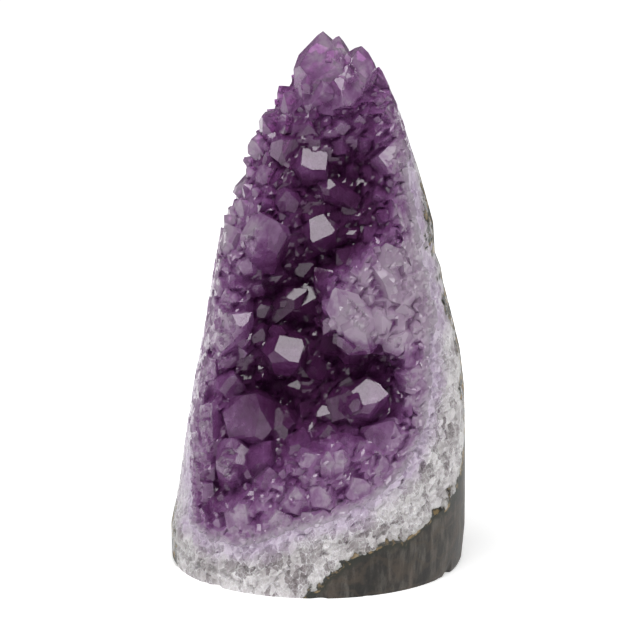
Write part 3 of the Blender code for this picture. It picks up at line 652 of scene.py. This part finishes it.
# The crystals that stand out, each named by where its tip is in the front view, from the view's middle:
# across, up, distance forward of the floor, radius, the way it points as right, up and toward the eye, and
# whether one end face lies square to the way that mirrors the light from above.
TALL_CRYSTALS = [
    # The summit and the top of the channel
    (0.5, 80, 12.5, 8.3, -0.05, 0.85, 0.5, 0),
    (5.5, 78.5, 12, 4, 0.15, 0.95, 0.2, 0),
    (11.6, 75.6, 11, 5.5, 0.2, 0.8, 0.4, 0),
    (1.4, 63, 8, 7.2, 0, -0.1, 1, 0),
    (7, 59.6, 8, 6.1, 0.1, -0.5, 0.85, 0),
    (-9.7, 63, 8, 4.5, -0.5, 0.6, 0.6, 0),
    (-16, 56, 8, 4.5, -0.5, 0.3, 0.8, 0),
    (-9.7, 56.8, 6, 4.2, -0.3, 0.5, 0.8, 0),
    (-10.2, 50, 7, 5.5, -0.2, 0.3, 0.93, 0),
    (-2.8, 54, 3, 5, 0.1, 0.2, 1, 0),
    (13.9, 66, 9, 4.4, 0.7, -0.2, 0.7, 1),
    (18.8, 62.3, 6, 3.2, 0.3, 0.4, 0.8, 0),
    (18.8, 58.8, 5, 3.6, -0.1, 0.3, 0.9, 0),
    (-19, 50, 8, 4.5, -0.6, 0.4, 0.7, 0),
    # The upper hollow
    (2, 41.5, 7, 6.2, 0.6, -0.5, 0.5, 1),
    (-1, 37.9, 4, 3.2, -0.8, 0.3, 0.3, 1),
    (4.2, 36.9, 4, 3, 0.9, 0.1, 0.3, 1),
    (7, 33.2, 3, 3.8, -0.2, 0.4, 0.8, 0),
    (-2, 21.5, 8, 5.8, -0.3, -0.9, 0.5, 1),
    (-14.4, 28.3, 8, 6.8, 0.1, 0.6, 0.8, 0),
    (-20.8, 38.8, 7, 5.5, -0.3, 0.3, 0.9, 0),
    (-14.4, 42.4, 6, 3.6, 0, 0.4, 0.8, 0),
    (-25, 29, 6, 4.2, -0.4, 0.2, 0.9, 0),
    (23, 37.4, 5, 4.4, -0.7, 0.1, 0.7, 0),
    (19.8, 34, 6, 4.6, -0.7, 0.4, 0.3, 1),
    (21.8, 29.4, 5, 4.2, -0.8, -0.2, 0.3, 1),
    (22.2, 44.6, 5, 3.8, -0.6, -0.6, 0.3, 1),
    (16, 45.7, 6, 5, -0.5, 0.2, 0.85, 0),
    (18, 21.3, 5, 4.4, -0.3, 0.8, 0.5, 0),
    # The shelf that stands out from the right, and the middle of the hollow
    (15, 14.5, 5, 8.2, -0.45, 0.35, 0.8, 0),
    (4, 9, 8, 5.6, -0.4, 0.75, 0.5, 0),
    (8.6, 5.5, 6, 5.8, -0.2, 0.75, 0.6, 0),
    (21, 15, 4, 4.6, 0.1, 0.6, 0.8, 0),
    (16, 2.5, 4, 5.4, 0.1, 0.4, 0.9, 0),
    (23, 4.5, 4, 4.4, 0.2, 0.3, 0.9, 0),
    (21, -5, 4, 4.2, 0, 0.2, 0.95, 0),
    (-25.5, 5, 6, 5.6, 0.2, 0.7, 0.7, 0),
    (-18.8, 2, 6, 4.4, 0.7, 0.5, 0.2, 1),
    (-8, 2.6, 7, 6.3, -0.6, -0.7, 0.3, 1),
    (-6, -12, 10, 6.4, 0.5, -0.8, 0.3, 1),
    (-3.3, 8.6, 5, 4.6, 0.7, 0.4, 0.2, 1),
    (4.2, -8.3, 6, 4.6, 0, -0.3, 0.95, 0),
    (8.3, -8.3, 6, 3.6, 0, 0.2, 0.9, 0),
    (-23.5, -15.2, 5, 4.8, 0.3, 0.4, 0.85, 0),
    (-29, -11, 4, 3.8, 0.2, 0.5, 0.8, 0),
    # The lower hollow
    (-29, -22.5, 6, 6.4, 0.35, 0.8, 0.5, 0),
    (-18.3, -20.5, 12, 9.4, 0.05, 0.6, 0.8, 0),
    (-24.4, -32.5, 9, 5.8, -0.1, 0.75, 0.65, 0),
    (-32, -32, 5, 5.3, -0.2, 0.7, 0.7, 0),
    (6.2, -18.5, 9, 5.2, -0.45, 0.75, 0.45, 0),
    (19, -20.5, 8, 6.4, 0.4, 0.3, 0.6, 1),
    (20, -27.5, 7, 7.4, 0.25, 0.6, 0.75, 0),
    (11, -33.2, 5, 4, 0, 0.6, 0.8, 0),
    (2.2, -36.4, 5, 2.8, 0, 0.8, 0.6, 0),
    (6, -35.8, 5, 2.8, 0.1, 0.8, 0.6, 0),
    (-9.7, -23.6, 7, 4.4, 0.1, 0.9, 0.35, 0),
    (-4.7, -29.8, 7, 4, 0.15, 0.9, 0.35, 0),
    (-1, -26.6, 5, 3, -0.7, -0.4, 0.3, 1),
    (23.8, -15.2, 5, 4.8, -0.3, 0.2, 0.9, 0),
    (8.3, -15.6, 4, 4, -0.1, 0.6, 0.8, 0),
    (15.2, -36.4, 4, 4.8, 0, 0.6, 0.75, 0),
    (-13.9, -41, 5, 4.6, 0, 0.7, 0.7, 0),
    (-20.8, -50.5, 5, 6.8, 0, 0.45, 0.85, 0),
    (-14, -33.5, 6, 5.2, 0.3, 0.7, 0.6, 0),
    (-6.5, -46.5, 4, 6, -0.1, 0.5, 0.85, 0),
    (2.5, -46, 4, 5, 0.2, 0.5, 0.8, 0),
    (9.5, -43.5, 4, 4.6, -0.1, 0.6, 0.8, 0),
    (-29.5, -45.5, 3, 4.4, 0.5, 0.4, 0.7, 0),
    (-28, -55, 3, 3.6, -0.2, 0.4, 0.9, 0),
]
LIT_WAY = (-0.04, 0.5, 0.87)
# The most that the crystals follow the floor where it falls back at the top, in millimetres.
MOST_ROLL = 10
# The angle from a quartz crystal's axis to the normal of each of its six end faces.
END_FACE_ANGLE = math.radians(51.8)
# Depths of colour, in millimetres: more on the left flank, less on the shelf, and one for the top.
FLANK_DEPTH = 2.5
SHELF_DEPTH = 5
TOP_DEPTH = 5.5
# Grains to the metre in the crust's ground faces.
CRUST_GRAINS = 430
# How far a tip stays behind the ground face, as a share of the radius, where a crystal lies across the view.
TIP_CLEARANCE = 0.6


def on_sight_line(across, up, behind):
    """The point on the line of sight through a place of the front view, at behind millimetres back."""
    sin_tilt, cos_tilt = math.sin(VIEW_TILT), math.cos(VIEW_TILT)
    eye = np.array([0, -VIEW_DISTANCE * cos_tilt, VIEW_CENTRE_UP + VIEW_DISTANCE * sin_tilt])
    seen = np.array([across, up * sin_tilt, VIEW_CENTRE_UP + up * cos_tilt])
    return eye + (seen - eye) * (behind - eye[1]) / (seen[1] - eye[1])


def standing_out(across, up, forward, clear):
    """The point on that line that stands forward of the hollow's floor, clear of the ground face."""
    behind = 0.0
    for _ in range(12):
        x, _, z = on_sight_line(across, up, behind)
        floor = float(hollow_floor(x, z) - max(roll_over(x, z) - MOST_ROLL, 0))
        behind = 0.5 * (behind + max(floor - forward, float(ground_front(x, z)) + clear))
    return on_sight_line(across, up, behind)


def view_direction(right, up, toward):
    """A direction given as seen in the front view."""
    sin_tilt, cos_tilt = math.sin(VIEW_TILT), math.cos(VIEW_TILT)
    direction = np.array([right, up * sin_tilt - toward * cos_tilt, up * cos_tilt + toward * sin_tilt])
    return direction / np.linalg.norm(direction)


def grown_crystal(tip, axis, radius, twist, length, end_faces):
    """Corners and triangles of a six-sided crystal, cut to a point by six end faces."""
    bm = bmesh.new()
    bmesh.ops.create_cone(
        bm, cap_ends=True, segments=6, radius1=radius, radius2=radius, depth=length + 2 * radius,
        matrix=Matrix.Translation((0, 0, radius - length / 2)),
    )
    for side, offset in enumerate(end_faces):
        turn = math.radians(60 * side)
        flat = math.sin(END_FACE_ANGLE)
        normal = Vector((math.sin(turn) * flat, math.cos(turn) * flat, math.cos(END_FACE_ANGLE)))
        cut = bmesh.ops.bisect_plane(
            bm, geom=bm.verts[:] + bm.edges[:] + bm.faces[:], dist=1e-4, plane_co=normal * offset * radius,
            plane_no=normal, clear_outer=True,
        )
        rim = [item for item in cut["geom_cut"] if isinstance(item, bmesh.types.BMEdge)]
        if rim:
            bmesh.ops.edgenet_fill(bm, edges=rim)
    bmesh.ops.recalc_face_normals(bm, faces=bm.faces)
    bmesh.ops.triangulate(bm, faces=bm.faces)
    turned = Vector(axis).to_track_quat("Z", "Y").to_matrix() @ Matrix.Rotation(twist, 3, "Z")
    points = np.array([turned @ vert.co + Vector(tip) for vert in bm.verts])
    bm.verts.index_update()
    triangles = np.array([[vert.index for vert in face.verts] for face in bm.faces])
    bm.free()
    return points, triangles


def turned_to_light(axis, way):
    """An axis near the given one, and the twist about it, that set one large end face square to a way."""
    across = axis - way * (axis @ way)
    across /= np.linalg.norm(across)
    axis = way * math.cos(END_FACE_ANGLE) + across * math.sin(END_FACE_ANGLE)
    local = Vector(axis).to_track_quat("Z", "Y").to_matrix().transposed() @ Vector(way)
    return axis, math.atan2(local.y, local.x) - math.pi / 2


def end_face_offsets(rng):
    """Three large end faces that meet near the tip, with three smaller ones between them."""
    large = rng.uniform(-0.08, 0.08, 3)
    small = rng.uniform(0, 0.3, 3)
    return [value for pair in zip(large, small) for value in pair]


def floor_direction(x, z):
    """The way out of the hollow's floor, square to it."""
    step = 0.8
    along = float(hollow_floor(x + step, z) - hollow_floor(x - step, z)) / (2 * step)
    upward = float(hollow_floor(x, z + step) - hollow_floor(x, z - step)) / (2 * step)
    direction = np.array([along, -1, upward])
    return direction / np.linalg.norm(direction)


def scattered_crystals(rng, count, radii, taken):
    """Crystals between the ones that stand out, spread over the floor so that none is left bare."""
    x, z = np.meshgrid(np.arange(-42, 30, 0.9), np.arange(12, 152, 0.9))
    x, z = x.ravel(), z.ravel()
    y = hollow_floor(x, z)
    slope_x = (hollow_floor(x + 0.5, z) - y) / 0.5
    slope_z = (hollow_floor(x, z + 0.5) - y) / 0.5
    weight = np.minimum(np.sqrt(1 + slope_x**2 + slope_z**2), 6)
    open_floor = (inside_depth(RIM_OUTLINE, x, z) > 1) & (y < level_at(BACK, z) + 2)
    open_floor &= (x > level_at(LEFT, z) - 3) & (x < level_at(RIGHT, z))
    weight = np.where(open_floor, weight, 0)
    order = rng.choice(len(x), size=min(6000, int(open_floor.sum())), replace=False, p=weight / weight.sum())
    feet = np.array([foot for foot, _ in taken])
    sizes = np.array([size for _, size in taken])
    made = []
    for index in order:
        if len(made) == count:
            break
        radius = rng.uniform(*radii)
        foot = np.array([x[index], y[index], z[index]])
        if (np.linalg.norm(feet - foot, axis=1) < 0.92 * (radius + sizes)).any():
            continue
        feet = np.vstack([feet, foot])
        sizes = np.append(sizes, radius)
        axis = floor_direction(x[index], z[index]) + np.array([0, -0.15, 0.35]) + rng.normal(0, 0.22, 3)
        axis = axis / np.linalg.norm(axis)
        out = radius * rng.uniform(0.9, 1.5)
        room = (y[index] - float(ground_front(x[index], z[index])) + 0.8) / max(-axis[1], 0.4)
        fitted = min(max(room / out, 0.5), 1)
        radius, out = radius * fitted, out * fitted
        twist = rng.uniform(0, math.tau)
        made.append((foot + axis * out, axis, radius, twist, out + 7, end_face_offsets(rng)))
    return made


def side_crystals(rng, crystals):
    """Small crystals on the flanks of the larger ones, pointing nearly the same way."""
    made = []
    for tip, axis, radius, *_ in crystals:
        across = np.cross(axis, [0.3, 0.2, 1])
        across /= np.linalg.norm(across)
        upward = np.cross(axis, across)
        for _ in range(int(radius * 0.4)):
            turn = rng.uniform(0, math.tau)
            size = radius * rng.uniform(0.22, 0.45)
            sideways = across * math.cos(turn) + upward * math.sin(turn)
            way = axis + rng.normal(0, 0.3, 3) + 0.35 * sideways
            way /= np.linalg.norm(way)
            side = sideways * radius * rng.uniform(0.75, 1.05)
            foot = tip - axis * radius * rng.uniform(0.9, 1.7) + side
            twist = rng.uniform(0, math.tau)
            made.append((foot + way * size * 0.6, way, size, twist, size * 2.5, end_face_offsets(rng)))
    return made


def groups_apart(crystals):
    """Sorts crystals into groups in which none touches another, so that each group is a closed mesh."""
    groups = []
    for crystal in crystals:
        tip, axis, radius, _, length, _ = crystal
        middle = tip - axis * (length / 2 - 0.3 * radius)
        reach = math.hypot(length / 2 + 0.5 * radius, radius) + 0.1
        for members in groups:
            if all(np.linalg.norm(middle - other) > reach + far for other, far, _ in members):
                members.append((middle, reach, crystal))
                break
        else:
            groups.append([(middle, reach, crystal)])
    return [[crystal for _, _, crystal in members] for members in groups]


def grown_together(name, crystals):
    """One mesh of a group of crystals."""
    points, triangles = [], []
    count = 0
    for crystal in crystals:
        corners, sides = grown_crystal(*crystal)
        points.append(corners)
        triangles.append(sides + count)
        count += len(corners)
    return object_from(name, np.concatenate(points), np.concatenate(triangles))


rng = np.random.default_rng(11)
crystals = []
taken = []
for across, up, forward, radius, right, rise, toward, lit in TALL_CRYSTALS:
    tip = standing_out(across, up, forward, TIP_CLEARANCE * radius * (1 - toward))
    axis, twist = view_direction(right, rise, toward), rng.uniform(0, math.tau)
    if lit:
        axis, twist = turned_to_light(axis, view_direction(*LIT_WAY))
    crystals.append((tip, axis, radius, twist, forward + 9, end_face_offsets(rng)))
    taken.append((tip - axis * forward * 0.9, radius))
crystals += scattered_crystals(rng, count=64, radii=(3.1, 5), taken=taken)

small_rng = np.random.default_rng(23)
taken = [(tip - axis * (length - 8), 0.8 * radius) for tip, axis, radius, _, length, _ in crystals]
small = scattered_crystals(small_rng, count=230, radii=(1.3, 2.7), taken=taken)
small += side_crystals(small_rng, crystals)


def broken_floor(x, z):
    """The hollow's floor with the facets of its finest crystals: each grain is a plane of its own tilt."""
    floor = hollow_floor(x, z)
    points = np.stack([x, np.clip(floor, -FACE_LIMIT, FACE_LIMIT), z], axis=-1).reshape(-1, 3)
    return floor - 1.5 * grain_relief(points, 3, 0.5, 8).reshape(x.shape)


crust = slab("amethyst_crystals", broken_floor, step=1, behind=True)
for members in groups_apart(crystals + small):
    combine(crust, "UNION", grown_together("grown", members))
# The crust reaches a hair into the quartz, so that nothing shows between the two.
CLOSED_GAP = 0.25
allowed = slab("in_front_of_the_quartz", lambda x, z: purple_root(x, z) + CLOSED_GAP, step=1.2)
# The crust's ground faces lie a hair outside the quartz's, so that the two never share a plane.
just_outside = object_from("ground_with_crust", outside + 0.03 * outward, outside_triangles)
combine(allowed, "INTERSECT", just_outside)
combine(crust, "INTERSECT", allowed)
keep_largest_shell(crust)
measured(crust, "under_ground", lambda x, y, z: y - ground_front(x, z))


def left_flank(x, z):
    """Where the colour reaches the left edge: 1 beside the lower hollow, and 0 inwards, above and below."""
    return np.clip((-20 - x) / 8, 0, 1) * np.clip((z - 14) / 6, 0, 1) * np.clip((78 - z) / 10, 0, 1)


measured(crust, "from_root", lambda x, y, z: purple_root(x, z) - y + FLANK_DEPTH * left_flank(x, z))


def colour_and_shade_depth(x, y, z):
    """How deep a point counts for its colour, with painted shade added between the crystals.

    The depth under the ground front, mostly of the hollow's floor and partly of the point itself. It counts
    less near the edges of the upper part, on the shelf and at the top, and more on the left flank. Painted
    shade is added: near the floor between crystals it counts more, so darker, and at their tips less.
    """
    depth = 0.35 * y + 0.65 * hollow_floor(x, z) - ground_front(x, z) - roll_over(x, z)
    edge = np.clip(np.minimum(x - level_at(LEFT, z), 1.5 * (level_at(RIGHT, z) - x)) / 13, 0.3, 1)
    upper = np.clip((z - 75) / 20, 0, 1)
    depth = depth * (1 - upper * (1 - edge))
    top = 0.85 * np.clip((z - 118) / 14, 0, 1)
    depth = depth * (1 - top) + TOP_DEPTH * top
    shelf = np.clip(inside_depth(SHELF_OUTLINE, x, z) / SHELF_EDGE + 0.5, 0, 1)
    # Painted shade: points near the floor between the crystals count deeper, so darker, and the tips paler.
    painted_gap_shade = np.interp(hollow_floor(x, z) - y, [0, 3.5], [3.5, -0.5])
    return depth - SHELF_DEPTH * shelf + FLANK_DEPTH * left_flank(x, z) + painted_gap_shade


measured(crust, "depth_with_shade", colour_and_shade_depth)


def amethyst_finish():
    """Clear quartz coloured by what light loses on its way through, white and cloudy at the roots, with
    painted shade darkening the gaps between crystals.
    """
    finish = Finish("amethyst")
    cloud = finish.noise(150, 5, 0.6)
    veils = finish.noise(380, 4, 0.6)
    # This depth carries painted shade: darker in the gaps between crystals, paler at their tips.
    depth = finish.attribute("depth_with_shade") + (cloud - 0.5) * 12 + (veils - 0.5) * 12
    zone = finish.stretch_to(depth, -1, 17)
    tint = finish.ramp(zone, [
        (0, (0.82, 0.65, 0.83)), (0.2, (0.55, 0.295, 0.585)),
        (0.5, (0.33, 0.12, 0.35)), (1, (0.15, 0.036, 0.142)),
    ])
    roots = finish.stretch_to(finish.attribute("from_root") + (cloud - 0.5) * 3, 3.5, 0)
    tint = finish.blend(roots * 0.65, tint, (0.85, 0.81, 0.86))
    ground_off = finish.stretch_to(finish.attribute("under_ground"), 1.5, 0.5)
    colours = finish.cells(CRUST_GRAINS, output="Color")
    grains = finish.node("ShaderNodeSeparateColor", values={"Color": colours})
    tint = finish.blend(ground_off * grains * 0.5, tint, (0.8, 0.74, 0.8))
    finish.put(finish.surface.inputs, {
        "Base Color": tint,
        "Roughness": finish.stretch_to(finish.noise(400, 3), 0.35, 0.75, 0.02, 0.1),
        "IOR": QUARTZ_IOR,
        "Transmission Weight": 0.6,
        "Normal": finish.tilted(CRUST_GRAINS, 0.02 + ground_off * 0.8),
    })
    volume = finish.tree.nodes.new("ShaderNodeVolumeAbsorption")
    volume.inputs["Color"].default_value = (0.55, 0.2, 0.52, 1)
    volume.inputs["Density"].default_value = 110
    finish.tree.links.new(volume.outputs["Volume"], finish.result.inputs["Volume"])
    return finish


dressed(crust, amethyst_finish())
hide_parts("amethyst_crust")
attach(crust, "root")

# The white table, the light and the camera
# A wide white surface under a large soft light from above and in front, seen from a little above.


x, y = np.meshgrid(np.array([-6000, -400, 400, 6000]), np.array([-450, -200, 400, 9000]))
corners = np.stack([x, y, x * 0 - 0.05], axis=-1).reshape(-1, 3)
table = object_from("table", corners, grid_faces(4, 4))
# The table glows behind the piece, so that the floor there stays as white as in the photo.
white = Finish("table_white")
away = white.node("ShaderNodeVectorMath", {"operation": "LENGTH"}, {"Vector": white.place}, "Value")
back = white.node("ShaderNodeSeparateXYZ", values={"Vector": white.place}, output="Y")
glow = white.stretch_to(away, 0.05, 0.2, 0.5, 1) * white.stretch_to(back, -0.2, -0.06)
white.put(white.surface.inputs, {
    "Base Color": (0.92, 0.92, 0.92, 1), "Roughness": 0.9, "Specular IOR Level": 0.1,
    "Emission Color": glow, "Emission Strength": 1,
})
dressed(table, white)


def soft_light(name, size, power, place, aim):
    """A square light that faces the piece, placed in metres."""
    light = bpy.data.lights.new(name, "AREA")
    light.shape = "RECTANGLE"
    light.size, light.size_y = size
    light.energy = power
    obj = bpy.data.objects.new(name, light)
    obj.location = place
    obj.rotation_euler = (Vector(aim) - Vector(place)).to_track_quat("-Z", "Y").to_euler()
    bpy.context.scene.collection.objects.link(obj)


soft_light("softbox_above", size=(0.8, 0.65), power=9, place=(-0.1, -0.35, 1.05), aim=(0, 0, 0.05))
soft_light("softbox_left", size=(0.35, 0.5), power=1.2, place=(-0.8, -0.5, 0.5), aim=(0, 0, 0.08))
soft_light("softbox_right", size=(0.35, 0.5), power=2.1, place=(0.8, -0.5, 0.5), aim=(0, 0, 0.08))

world = bpy.data.worlds.new("studio")
world.use_nodes = True
world.node_tree.nodes["Background"].inputs["Color"].default_value = (1, 1, 1, 1)
world.node_tree.nodes["Background"].inputs["Strength"].default_value = 0.06
bpy.context.scene.world = world
bpy.context.scene.view_settings.view_transform = "Standard"

camera = bpy.data.cameras.new("camera")
camera.sensor_width = 36
camera.lens = 126
camera.clip_start = 0.01
camera_object = bpy.data.objects.new("camera", camera)
sight = Vector((0, math.cos(VIEW_TILT), -math.sin(VIEW_TILT)))
aim = Vector(((np.array([0, 0, VIEW_CENTRE_UP]) - BASE_MIDDLE) * MM).tolist())
camera_object.location = aim - sight * VIEW_DISTANCE * MM
camera_object.rotation_euler = sight.to_track_quat("-Z", "Y").to_euler()
bpy.context.scene.collection.objects.link(camera_object)
bpy.context.scene.camera = camera_object
